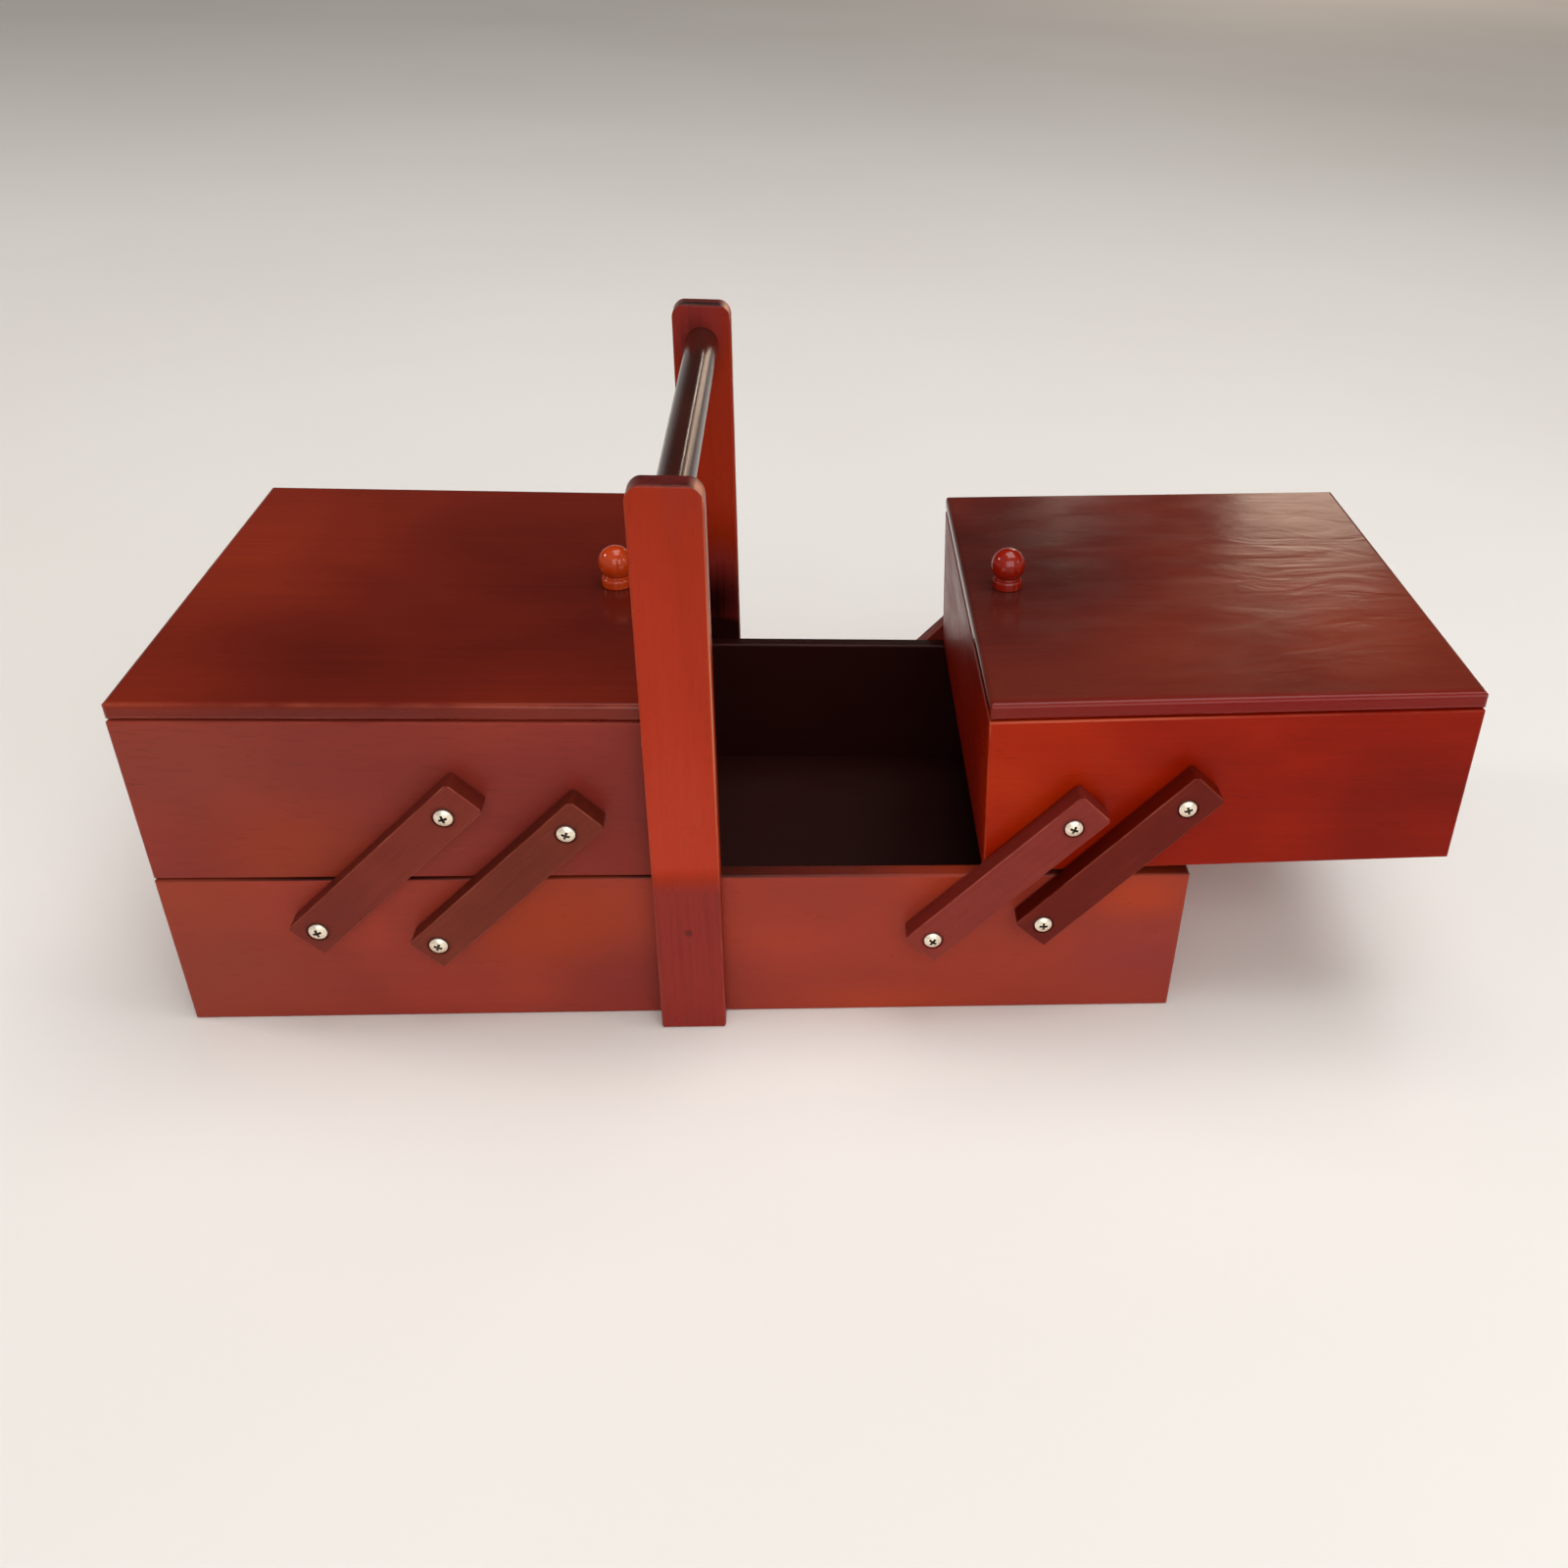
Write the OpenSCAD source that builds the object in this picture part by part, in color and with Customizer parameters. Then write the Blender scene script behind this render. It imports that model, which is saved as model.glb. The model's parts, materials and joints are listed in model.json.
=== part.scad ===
// Two-tier wooden sewing carrier. A long open base carries two lidded trays on crossed pairs of
// wooden arms, and two posts with a round bar between them make the carrying handle.
// X runs along the box, Y from front to back and Z up. The origin is the middle of the underside.
// It is drawn with the left tray shut on the base and the right tray swung out.

/* [Base] */
// Length of the base
base_l = 400; // [380:5:440]
// Depth of the base, front to back
base_w = 200; // [160:5:240]
// Height of the base
base_h = 70; // [66:1:80]
// Thickness of the side and end boards
board_t = 7.5; // [6:0.5:10]
// Thickness of the bottom panels
panel_t = 4; // [3:0.5:5]
// Rounding of the cases' outer edges
edge_r = 1.2; // [0.5:0.1:2]

/* [Trays] */
// Length of a tray
tray_l = 190; // [180:1:195]
// Height of a tray
tray_h = 69.5; // [60:0.5:80]
// Gap on each side between a tray and the posts
tray_side_gap = 0.4; // [0.3:0.1:1]
// Gap between a shut tray and the rim of the base
seam = 0.3; // [0.3:0.1:1]

/* [Lids] */
// Thickness of a lid
lid_t = 7; // [6:0.5:9]
// Rounding of a lid's edges
lid_r = 2.2; // [1:0.1:2.8]
// Gap between a shut lid and its tray
lid_gap = 0.3; // [0.3:0.1:0.6]

/* [Posts and handle] */
// Width of a post
post_w = 26; // [22:1:34]
// Thickness of a post
post_t = 10; // [10:0.5:14]
// Height of a post
post_h = 235; // [220:5:280]
// Rounding of a post's top corners
post_top_r = 6.5; // [3:0.5:10]
// Diameter of the handle bar
bar_d = 14; // [12:1:18]
// Height of the bar's centre under the top of the posts
bar_drop = 17; // [15:1:25]
// Depth of the sockets that hold the bar
socket_depth = 6; // [4:0.5:8]

/* [Arms] */
// Distance between the two pivots of an inner arm
arm_reach = 75; // [74.5:0.5:80]
// Width of an arm
arm_w = 17; // [14:0.5:20]
// Thickness of an arm
arm_t = 9; // [6:0.5:9]
// How far an arm runs past its upper pivot
arm_top_end = 12; // [9:0.5:12]
// How far an arm runs past its lower pivot
arm_foot_end = 7.5; // [6:0.5:9]
// Rounding of an arm's four corners
arm_corner_r = 2; // [0.6:0.2:4]
// Slope of an inner arm when its tray is out
open_angle = 46.5; // [46:0.1:55]
// Depth of the base's inner pivots under its rim
base_pivot_drop = 25; // [22:0.5:25.5]
// Height of a tray's inner pivots over its underside
tray_pivot_z = 27.5; // [24:0.5:28]
// Distance of a tray's inner pivots from its inner end
tray_pivot_x = 33; // [28:0.5:40]
// Distance along the base from the inner pivots to the outer ones
step_x = 44; // [40:1:50]
// Rise from the inner pivots to the outer ones
step_z = 7.5; // [5:0.5:10]
// How much closer together a tray's pivots are, which tips the open tray up
step_less = 0.6; // [0:0.1:0.8]

/* [Knobs] */
// Diameter of a knob's ball
knob_d = 14.4; // [12:0.2:18]
// Height of a knob
knob_h = 17; // [16:0.5:20]
// Distance of the left knob from its lid's inner edge
left_knob_inset = 22; // [12:1:30]
// Distance of the right knob from its lid's inner edge
right_knob_inset = 18; // [12:1:30]

/* [Screws and hinges] */
// Diameter of a pivot screw's shank
screw_d = 4; // [3.5:0.1:4.5]
// Diameter of a pivot screw's pan head
head_d = 7; // [6.5:0.1:8]
// Length of a hinge along the lid's edge
hinge_l = 25; // [20:1:30]
// Distance of each hinge from the middle of the lid
hinge_y = 58; // [40:1:65]
// Diameter of a hinge's barrel
barrel_d = 3.6; // [3:0.1:4]

/* [Hidden] */
$fn = 48;
// Radial play of turning pieces, and of screws in their pilot holes
play = 0.05;
// Radial play at the upper pivot of an outer arm, which only follows the tray
loose_play = 0.6;
// How far a cutting shape runs past the face that it cuts
cut = 1;
tray_w = base_w - 2 * tray_side_gap;
side_y = base_w / 2;
tray_side_y = tray_w / 2;
half_t = board_t / 2;
arm_edge_r = 0.6;
post_foot_r = 2;
bar_end_gap = 0.2;
// The arms turn in a plane just off the base, with a washer behind each pivot
washer_t = 0.6;
arm_gap = 0.8;
washer_d = 9;
head_gap = 0.1;
// A screw head sits in a shallow recess in the arm
recess_d = 8.6;
recess_depth = 0.8;
head_h = 2.3;
head_dome_r = 5;
slot_w = 1.1;
slot_l = 3.8;
slot_depth = 1.4;
slot_turn = 20;
// Screws stop short of the inside of the boards
screw_bite = board_t - 1;
tip_l = 3;
// Turned knob
collar_d = 11.8;
collar_h = 3.2;
neck_d = 8.8;
// Knob screw, driven up from inside the lid
knob_screw_d = 3.4;
knob_screw_head_d = 7;
knob_screw_l = 15;
knob_hole_depth = 10;
// Brads that hold the posts, punched under the face and filled
brad_d = 1.8;
brad_l = 13;
brad_head_d = 2.6;
brad_head_h = 1.3;
brad_z = 50;
punch_depth = 1;
filler_d = 3;
// Butt hinges, let in between the tray's end board and the lid
leaf_t = 0.9;
leaf_in = 7;
pin_d = 1.6;
barrel_off = 2.2;
knuckle = hinge_l / 3;
knuckle_gap = 0.3;
leaf_screw_d = 2;
leaf_screw_head_d = 3.8;
leaf_screw_y = hinge_l / 2 - 4.5;
tray_leaf_screw_l = 9;
lid_leaf_screw_l = 5.2;

// The linkage, worked out for the right side. The left side is its mirror image.
tray_pivot = [tray_pivot_x, tray_pivot_z];
tray_step = [step_x - step_less, step_z];
link = norm(tray_step);
link_slope = atan2(tray_step[1], tray_step[0]);
function along(reach, angle) = reach * [cos(angle), sin(angle)];
function turned(v, angle) =
    [v[0] * cos(angle) - v[1] * sin(angle), v[0] * sin(angle) + v[1] * cos(angle)];
function slope(v) = atan2(v[1], v[0]);
// Shut: the tray stands level just over the rim, flush with the end of the base,
// which sets the inner arm's slope and where its lower pivot lies
shut_corner = [base_l / 2 - tray_l, base_h + seam];
shut_inner = shut_corner + tray_pivot;
shut_outer = shut_inner + tray_step;
shut_angle = 180 - asin((shut_inner[1] - base_h + base_pivot_drop) / arm_reach);
A1 = shut_inner - along(arm_reach, shut_angle);
A2 = A1 + [step_x, step_z];
// The outer arm is as long as the shut box needs
outer_reach = norm(shut_outer - A2);
// Slope of the line through a tray's pivots at any slope of the inner arm, from the triangle
// that this line makes with the outer arm
function link_angle(angle) =
    let (b = A1 + along(arm_reach, angle), d = A2 - b, n = norm(d))
    slope(d) + acos((link * link + n * n - outer_reach * outer_reach) / (2 * link * n));
function tray_tilt(angle) = link_angle(angle) - link_slope;
function tray_corner(angle) = A1 + along(arm_reach, angle) - turned(tray_pivot, tray_tilt(angle));
function outer_slope(angle) = slope(A1 + along(arm_reach, angle) + along(link, link_angle(angle)) - A2);
fold = shut_angle - open_angle;
tilt = tray_tilt(open_angle);
open_corner = tray_corner(open_angle);
outer_ratio = (outer_slope(shut_angle) - outer_slope(open_angle)) / fold;
tray_ratio = -(fold + tilt) / fold;
echo(fold = fold, tilt = tilt, outer_ratio = outer_ratio, tray_ratio = tray_ratio);
echo(open_corner = open_corner, outer_reach = outer_reach, A1 = A1, A2 = A2);

case_red = [0.56, 0.19, 0.13];
lid_red = [0.42, 0.13, 0.09];
post_red = [0.64, 0.23, 0.13];
arm_red = [0.45, 0.17, 0.15];
bar_red = [0.26, 0.07, 0.06];
knob_red = [0.66, 0.16, 0.07];
nickel = [0.8, 0.78, 0.72];
brass = [0.74, 0.6, 0.32];
dark_fill = [0.2, 0.07, 0.05];

// Rectangle with round corners, its lower left corner at the origin
module rounded_rect(l, w, r) {
    translate([r, 0]) square([l - 2 * r, w]);
    translate([0, r]) square([l, w - 2 * r]);
    for (x = [r, l - r], y = [r, w - r]) translate([x, y]) circle(r);
}

// Block with every edge rounded, centred on X and Y, from z = 0 up. Its upright edges can be rounder.
module rounded_block(l, w, h, r, corner_r = 0) {
    intersection() {
        translate([-l / 2, -w / 2, 0]) linear_extrude(h) rounded_rect(l, w, max(r, corner_r));
        translate([-l / 2, w / 2, 0]) rotate([90, 0, 0]) linear_extrude(w) rounded_rect(l, h, r);
        translate([-l / 2, -w / 2, 0]) rotate([90, 0, 90]) linear_extrude(l) rounded_rect(w, h, r);
    }
}

// Cylinder along Y, from y = from to y = to
module rod_y(d, from, to) {
    translate([0, from, 0]) rotate([-90, 0, 0]) cylinder(d = d, h = to - from);
}

module mirror_if(on, axis) {
    if (on) mirror(axis) children();
    else children();
}

// Boards of an open case, centred on X and Y. The long boards lap the ends in rebates,
// and the bottom panel lies in a rebate, flush with the underside.
module long_board(l, w, h) {
    difference() {
        intersection() {
            rounded_block(l, w, h, edge_r);
            translate([-l / 2, -w / 2, 0]) cube([l, board_t, h]);
        }
        for (x = [-l / 2 - cut, l / 2 - board_t])
            translate([x, -w / 2 + half_t, -cut]) cube([board_t + cut, board_t, h + 2 * cut]);
        translate([-l / 2 - cut, -w / 2 + half_t, -cut]) cube([l + 2 * cut, board_t, panel_t + cut]);
        rim_easing(l, w, h);
    }
}

module end_board(l, w, h) {
    difference() {
        intersection() {
            rounded_block(l, w, h, edge_r);
            translate([l / 2 - board_t, -w / 2 + half_t, 0]) cube([board_t, w - board_t, h]);
        }
        translate([l / 2 - board_t - cut, -w / 2, -cut]) cube([half_t + cut, w, panel_t + cut]);
        rim_easing(l, w, h);
    }
}

// What rounding takes off the inner edge of a case's rim
module rim_easing(l, w, h) {
    x = l / 2 - board_t + edge_r;
    y = w / 2 - board_t + edge_r;
    translate([0, 0, h - edge_r]) difference() {
        translate([-x, -y, 0]) cube([2 * x, 2 * y, edge_r + cut]);
        for (side = [-1, 1]) {
            translate([side * x, 0, 0]) rod_y(2 * edge_r, -w, w);
            translate([0, side * y, 0]) rotate(90) rod_y(2 * edge_r, -l, l);
        }
    }
}

module bottom_panel(l, w) {
    translate([-(l - board_t) / 2, -(w - board_t) / 2, 0]) cube([l - board_t, w - board_t, panel_t]);
}

// Pan-head screw along Y with its head seat at y = 0, its head towards -Y and its tip towards +Y
module pan_screw(d, l) {
    rod_y(d, 0, l - tip_l);
    translate([0, l - tip_l, 0]) rotate([-90, 0, 0]) cylinder(d1 = d, d2 = 0.6, h = tip_l);
    difference() {
        intersection() {
            rod_y(head_d, -head_h, 0);
            translate([0, head_dome_r - head_h, 0]) sphere(head_dome_r);
        }
        for (a = [0, 90]) rotate([0, a + slot_turn, 0])
            translate([-slot_l / 2, -head_h - cut, -slot_w / 2]) cube([slot_l, slot_depth + cut, slot_w]);
    }
}

// Countersunk screw along Z with its flat head at z = 0 and its tip down
module flat_screw(d, head, l) {
    sink = (head - d) / 2;
    translate([0, 0, -sink]) cylinder(d1 = d, d2 = head, h = sink);
    translate([0, 0, d - l]) cylinder(d = d, h = l - d - sink);
    translate([0, 0, -l]) cylinder(d1 = 0.5, d2 = d, h = d);
}

// Countersunk hole for such a screw
module flat_hole(d, head, l) {
    sink = (head - d) / 2;
    translate([0, 0, -l - play]) cylinder(d = d + 2 * play, h = l + play + cut);
    translate([0, 0, -sink]) cylinder(r1 = d / 2 + play, r2 = head / 2 + play + cut, h = sink + cut);
}

// Places on the carrier: side is -1 for the left, which is shut, and 1 for the right, which is open
module on_side(side) {
    mirror_if(side < 0, [1, 0, 0]) children();
}

// The front and the rear of the box, drawn as the front
module on_face(face) {
    mirror_if(face > 0, [0, 1, 0]) children();
}

module on_tray(side) {
    corner = side < 0 ? shut_corner : open_corner;
    on_side(side) translate([corner[0], 0, corner[1]]) rotate([0, side < 0 ? 0 : -tilt, 0]) children();
}

module on_lid(side) {
    on_tray(side) translate([0, 0, tray_h + lid_gap]) children();
}

// Base

// Holes in a base board for the pivot screws and for the brad of the post
module base_side_holes() {
    for (side = [-1, 1], p = [A1, A2])
        translate([side * p[0], -side_y, p[1]]) rod_y(screw_d + 2 * play, -cut, screw_bite + play);
    translate([0, -side_y, brad_z])
        rod_y(brad_d + 2 * play, -cut, brad_l + punch_depth - post_t + play);
}

module base_side() {
    difference() {
        long_board(base_l, base_w, base_h);
        base_side_holes();
    }
}

module base_front_board() {
    color(case_red) base_side();
}

module base_rear_board() {
    color(case_red) on_face(1) base_side();
}

module base_left_end() {
    color(case_red) on_side(-1) end_board(base_l, base_w, base_h);
}

module base_right_end() {
    color(case_red) end_board(base_l, base_w, base_h);
}

module base_bottom_panel() {
    color(case_red) bottom_panel(base_l, base_w);
}

// Handle

module post() {
    difference() {
        intersection() {
            translate([-post_w / 2, -side_y, 0]) rotate([90, 0, 0]) linear_extrude(post_t) post_outline();
            translate([0, -side_y - post_t / 2, 0]) rounded_block(post_w, post_t, post_h, edge_r);
        }
        translate([0, -side_y, post_h - bar_drop]) rod_y(bar_d + 2 * play, -socket_depth, cut);
        translate([0, -side_y, brad_z]) {
            rod_y(brad_d + 2 * play, -post_t, cut);
            rod_y(filler_d + 2 * play, -post_t - cut, -post_t + punch_depth + brad_head_h);
        }
    }
}

module post_outline() {
    r = post_top_r;
    foot_r = post_foot_r;
    translate([foot_r, 0]) square([post_w - 2 * foot_r, post_h - r]);
    translate([0, foot_r]) square([post_w, post_h - r - foot_r]);
    translate([r, post_h - 2 * r]) square([post_w - 2 * r, 2 * r]);
    for (x = [r, post_w - r]) translate([x, post_h - r]) circle(r);
    for (x = [foot_r, post_w - foot_r]) translate([x, foot_r]) circle(foot_r);
}

module front_post() {
    color(post_red) post();
}

module rear_post() {
    color(post_red) on_face(1) post();
}

module handle_bar() {
    reach = side_y + socket_depth - bar_end_gap;
    color(bar_red) translate([0, 0, post_h - bar_drop]) rod_y(bar_d, -reach, reach);
}

module post_brads() {
    top = -side_y - post_t + punch_depth;
    color(nickel) for (face = [-1, 1]) on_face(face) translate([0, 0, brad_z]) {
        rod_y(brad_d, top, top + brad_l);
        rod_y(brad_head_d, top, top + brad_head_h);
    }
}

module brad_fillers() {
    top = -side_y - post_t;
    color(dark_fill) for (face = [-1, 1]) on_face(face)
        translate([0, 0, brad_z]) rod_y(filler_d, top, top + punch_depth);
}

// Screws and washers of the lower pivots, in the base
module base_pivot_screws() {
    seat = side_y + arm_gap + arm_t - recess_depth + head_gap;
    color(nickel) for (face = [-1, 1], side = [-1, 1], p = [A1, A2]) on_face(face)
        translate([side * p[0], -seat, p[1]]) pan_screw(screw_d, seat - side_y + screw_bite);
}

module washer(t) {
    difference() {
        rod_y(washer_d, -t, 0);
        rod_y(screw_d + 2 * play, -t - cut, cut);
    }
}

module base_pivot_washers() {
    color(nickel) for (face = [-1, 1], side = [-1, 1], p = [A1, A2])
        on_face(face) translate([side * p[0], -side_y, p[1]]) washer(washer_t);
}

// Arms

// A flat arm along +X with its lower pivot at the origin, its back at y = 0 and its face towards -Y
module arm(reach, far_play) {
    length = arm_foot_end + reach + arm_top_end;
    difference() {
        translate([length / 2 - arm_foot_end, 0, 0]) rotate([90, 0, 0])
            rounded_block(length, arm_w, arm_t, arm_edge_r, arm_corner_r);
        rod_y(screw_d + 2 * play, -arm_t - cut, cut);
        translate([reach, 0, 0]) rod_y(screw_d + 2 * far_play, -arm_t - cut, cut);
        for (x = [0, reach]) translate([x, 0, 0]) rod_y(recess_d, -arm_t - cut, recess_depth - arm_t);
    }
}

// An inner arm turns on the tray's screw. An outer one has a loose hole there.
module inner_arm(side, face) {
    angle = side < 0 ? shut_angle : open_angle;
    color(arm_red) on_side(side) on_face(face) translate([A1[0], -side_y - arm_gap, A1[1]])
        rotate([0, -angle, 0]) arm(arm_reach, play);
}

module outer_arm(side, face) {
    angle = outer_slope(side < 0 ? shut_angle : open_angle);
    color(arm_red) on_side(side) on_face(face) translate([A2[0], -side_y - arm_gap, A2[1]])
        rotate([0, -angle, 0]) arm(outer_reach, loose_play);
}

module left_front_inner_arm() { inner_arm(-1, -1); }
module left_front_outer_arm() { outer_arm(-1, -1); }
module left_rear_inner_arm() { inner_arm(-1, 1); }
module left_rear_outer_arm() { outer_arm(-1, 1); }
module right_front_inner_arm() { inner_arm(1, -1); }
module right_front_outer_arm() { outer_arm(1, -1); }
module right_rear_inner_arm() { inner_arm(1, 1); }
module right_rear_outer_arm() { outer_arm(1, 1); }

// Trays, drawn with the inner lower edge at the origin and running along +X

module tray_side() {
    difference() {
        translate([tray_l / 2, 0, 0]) long_board(tray_l, tray_w, tray_h);
        for (p = [tray_pivot, tray_pivot + tray_step])
            translate([p[0], -tray_side_y, p[1]]) rod_y(screw_d + 2 * play, -cut, screw_bite + play);
    }
}

module tray_front_board(side) {
    color(case_red) on_tray(side) tray_side();
}

module tray_rear_board(side) {
    color(case_red) on_tray(side) on_face(1) tray_side();
}

module tray_inner_end(side) {
    color(case_red) on_tray(side) translate([tray_l / 2, 0, 0])
        on_side(-1) end_board(tray_l, tray_w, tray_h);
}

// The outer end's top edge is cut for the hinge leaves and drilled for their screws
module tray_outer_end(side) {
    color(case_red) on_tray(side) difference() {
        translate([tray_l / 2, 0, 0]) end_board(tray_l, tray_w, tray_h);
        at_hinges() {
            translate([-leaf_in, -hinge_l / 2, -leaf_t]) cube([leaf_in + cut, hinge_l, leaf_t + cut]);
            at_leaf_screws() flat_hole(leaf_screw_d, leaf_screw_head_d, tray_leaf_screw_l);
        }
    }
}

module tray_bottom_panel(side) {
    color(case_red) on_tray(side) translate([tray_l / 2, 0, 0]) bottom_panel(tray_l, tray_w);
}

module tray_screws(side) {
    seat = side_y + arm_gap + arm_t - recess_depth + head_gap;
    color(nickel) on_tray(side) for (face = [-1, 1], p = [tray_pivot, tray_pivot + tray_step])
        on_face(face) translate([p[0], -seat, p[1]]) pan_screw(screw_d, seat - tray_side_y + screw_bite);
}

module tray_washers(side) {
    color(nickel) on_tray(side) for (face = [-1, 1], p = [tray_pivot, tray_pivot + tray_step])
        on_face(face) translate([p[0], -tray_side_y, p[1]]) washer(washer_t + tray_side_gap);
}

module left_tray_front_board() { tray_front_board(-1); }
module left_tray_rear_board() { tray_rear_board(-1); }
module left_tray_inner_end() { tray_inner_end(-1); }
module left_tray_outer_end() { tray_outer_end(-1); }
module left_tray_bottom_panel() { tray_bottom_panel(-1); }
module left_tray_screws() { tray_screws(-1); }
module left_tray_washers() { tray_washers(-1); }
module right_tray_front_board() { tray_front_board(1); }
module right_tray_rear_board() { tray_rear_board(1); }
module right_tray_inner_end() { tray_inner_end(1); }
module right_tray_outer_end() { tray_outer_end(1); }
module right_tray_bottom_panel() { tray_bottom_panel(1); }
module right_tray_screws() { tray_screws(1); }
module right_tray_washers() { tray_washers(1); }

// Hinges. Each place has its origin on the outer end's face, level with the top of the tray.
module at_hinges() {
    for (y = [-hinge_y, hinge_y]) translate([tray_l, y, tray_h]) children();
}

module at_leaf_screws() {
    for (y = [-leaf_screw_y, leaf_screw_y]) translate([-board_t / 2, y, 0]) children();
}

module at_lid_leaf_screws() {
    at_leaf_screws() translate([0, 0, lid_gap]) mirror([0, 0, 1]) children();
}

module barrel(from, to) {
    translate([barrel_off, 0, lid_gap / 2]) rod_y(barrel_d, from, to);
}

module barrel_bore() {
    translate([barrel_off, 0, lid_gap / 2]) rod_y(pin_d + 2 * play, -hinge_l, hinge_l);
}

// The tray's leaf has the two outer knuckles
module tray_leaf() {
    inner = knuckle / 2 + knuckle_gap / 2;
    difference() {
        union() {
            translate([-leaf_in, -hinge_l / 2, -leaf_t]) cube([leaf_in, hinge_l, leaf_t]);
            for (s = [-1, 1]) mirror_if(s < 0, [0, 1, 0]) {
                translate([-1, inner, -leaf_t]) cube([barrel_off + 1, hinge_l / 2 - inner, leaf_t]);
                barrel(inner, hinge_l / 2);
            }
        }
        barrel_bore();
        at_leaf_screws() flat_hole(leaf_screw_d, leaf_screw_head_d, tray_leaf_screw_l);
    }
}

// The lid's leaf has the middle knuckle
module lid_leaf() {
    inner = knuckle / 2 - knuckle_gap / 2;
    difference() {
        union() {
            translate([-leaf_in, -hinge_l / 2, lid_gap]) cube([leaf_in, hinge_l, leaf_t]);
            translate([-1, -inner, lid_gap]) cube([barrel_off + 1, 2 * inner, leaf_t]);
            barrel(-inner, inner);
        }
        barrel_bore();
        at_lid_leaf_screws() flat_hole(leaf_screw_d, leaf_screw_head_d, lid_leaf_screw_l);
    }
}

module hinge_tray_leaves(side) {
    color(brass) on_tray(side) at_hinges() tray_leaf();
}

module hinge_pins(side) {
    color(brass) on_tray(side) at_hinges() translate([barrel_off, 0, lid_gap / 2])
        rod_y(pin_d, -hinge_l / 2, hinge_l / 2);
}

module hinge_tray_screws(side) {
    color(brass) on_tray(side) at_hinges() at_leaf_screws()
        flat_screw(leaf_screw_d, leaf_screw_head_d, tray_leaf_screw_l);
}

module hinge_lid_leaves(side) {
    color(brass) on_tray(side) at_hinges() lid_leaf();
}

module hinge_lid_screws(side) {
    color(brass) on_tray(side) at_hinges() at_lid_leaf_screws()
        flat_screw(leaf_screw_d, leaf_screw_head_d, lid_leaf_screw_l);
}

module left_hinge_tray_leaves() { hinge_tray_leaves(-1); }
module left_hinge_pins() { hinge_pins(-1); }
module left_hinge_tray_screws() { hinge_tray_screws(-1); }
module left_hinge_lid_leaves() { hinge_lid_leaves(-1); }
module left_hinge_lid_screws() { hinge_lid_screws(-1); }
module right_hinge_tray_leaves() { hinge_tray_leaves(1); }
module right_hinge_pins() { hinge_pins(1); }
module right_hinge_tray_screws() { hinge_tray_screws(1); }
module right_hinge_lid_leaves() { hinge_lid_leaves(1); }
module right_hinge_lid_screws() { hinge_lid_screws(1); }

// Lids and knobs, with the underside of the lid at z = 0

module lid_board(side, inset) {
    color(lid_red) on_tray(side) difference() {
        translate([tray_l / 2, 0, tray_h + lid_gap]) rounded_block(tray_l, tray_w, lid_t, lid_r);
        translate([inset, 0, tray_h + lid_gap]) mirror([0, 0, 1])
            flat_hole(knob_screw_d, knob_screw_head_d, lid_t + cut);
        at_hinges() {
            translate([-leaf_in, -hinge_l / 2, lid_gap - cut]) cube([leaf_in + cut, hinge_l, leaf_t + cut]);
            at_lid_leaf_screws() flat_hole(leaf_screw_d, leaf_screw_head_d, lid_leaf_screw_l);
        }
    }
}

// Turned profile: a collar with a rounded rim, a neck and a ball, bored from below for its screw
module knob_profile() {
    ball_z = knob_h - knob_d / 2;
    difference() {
        union() {
            square([collar_d / 2 - collar_h / 2, collar_h]);
            translate([collar_d / 2 - collar_h / 2, collar_h / 2]) circle(collar_h / 2);
            square([neck_d / 2, ball_z]);
            intersection() {
                translate([0, ball_z]) circle(knob_d / 2);
                square([knob_d, knob_h]);
            }
        }
        translate([-cut, -cut]) square([cut + knob_screw_d / 2 + play, knob_hole_depth + cut]);
        translate([-knob_d, -cut]) square([knob_d, knob_h + 2 * cut]);
    }
}

module knob(side, inset) {
    color(knob_red) on_lid(side) translate([inset, 0, lid_t]) rotate_extrude() knob_profile();
}

module knob_screw(side, inset) {
    color(nickel) on_lid(side) translate([inset, 0, 0])
        mirror([0, 0, 1]) flat_screw(knob_screw_d, knob_screw_head_d, knob_screw_l);
}

module left_lid() { lid_board(-1, left_knob_inset); }
module left_knob() { knob(-1, left_knob_inset); }
module left_knob_screw() { knob_screw(-1, left_knob_inset); }
module right_lid() { lid_board(1, right_knob_inset); }
module right_knob() { knob(1, right_knob_inset); }
module right_knob_screw() { knob_screw(1, right_knob_inset); }

base_front_board();
base_rear_board();
base_left_end();
base_right_end();
base_bottom_panel();
front_post();
rear_post();
handle_bar();
post_brads();
brad_fillers();
base_pivot_screws();
base_pivot_washers();
left_front_inner_arm();
left_front_outer_arm();
left_rear_inner_arm();
left_rear_outer_arm();
right_front_inner_arm();
right_front_outer_arm();
right_rear_inner_arm();
right_rear_outer_arm();
left_tray_front_board();
left_tray_rear_board();
left_tray_inner_end();
left_tray_outer_end();
left_tray_bottom_panel();
left_tray_screws();
left_tray_washers();
right_tray_front_board();
right_tray_rear_board();
right_tray_inner_end();
right_tray_outer_end();
right_tray_bottom_panel();
right_tray_screws();
right_tray_washers();
left_hinge_tray_leaves();
left_hinge_pins();
left_hinge_tray_screws();
left_hinge_lid_leaves();
left_hinge_lid_screws();
right_hinge_tray_leaves();
right_hinge_pins();
right_hinge_tray_screws();
right_hinge_lid_leaves();
right_hinge_lid_screws();
left_lid();
left_knob();
left_knob_screw();
right_lid();
right_knob();
right_knob_screw();
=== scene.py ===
# Looks of the two-tier wooden sewing carrier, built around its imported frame.
import bmesh
import bpy
import json
import math
from mathutils import Matrix, Vector


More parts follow.
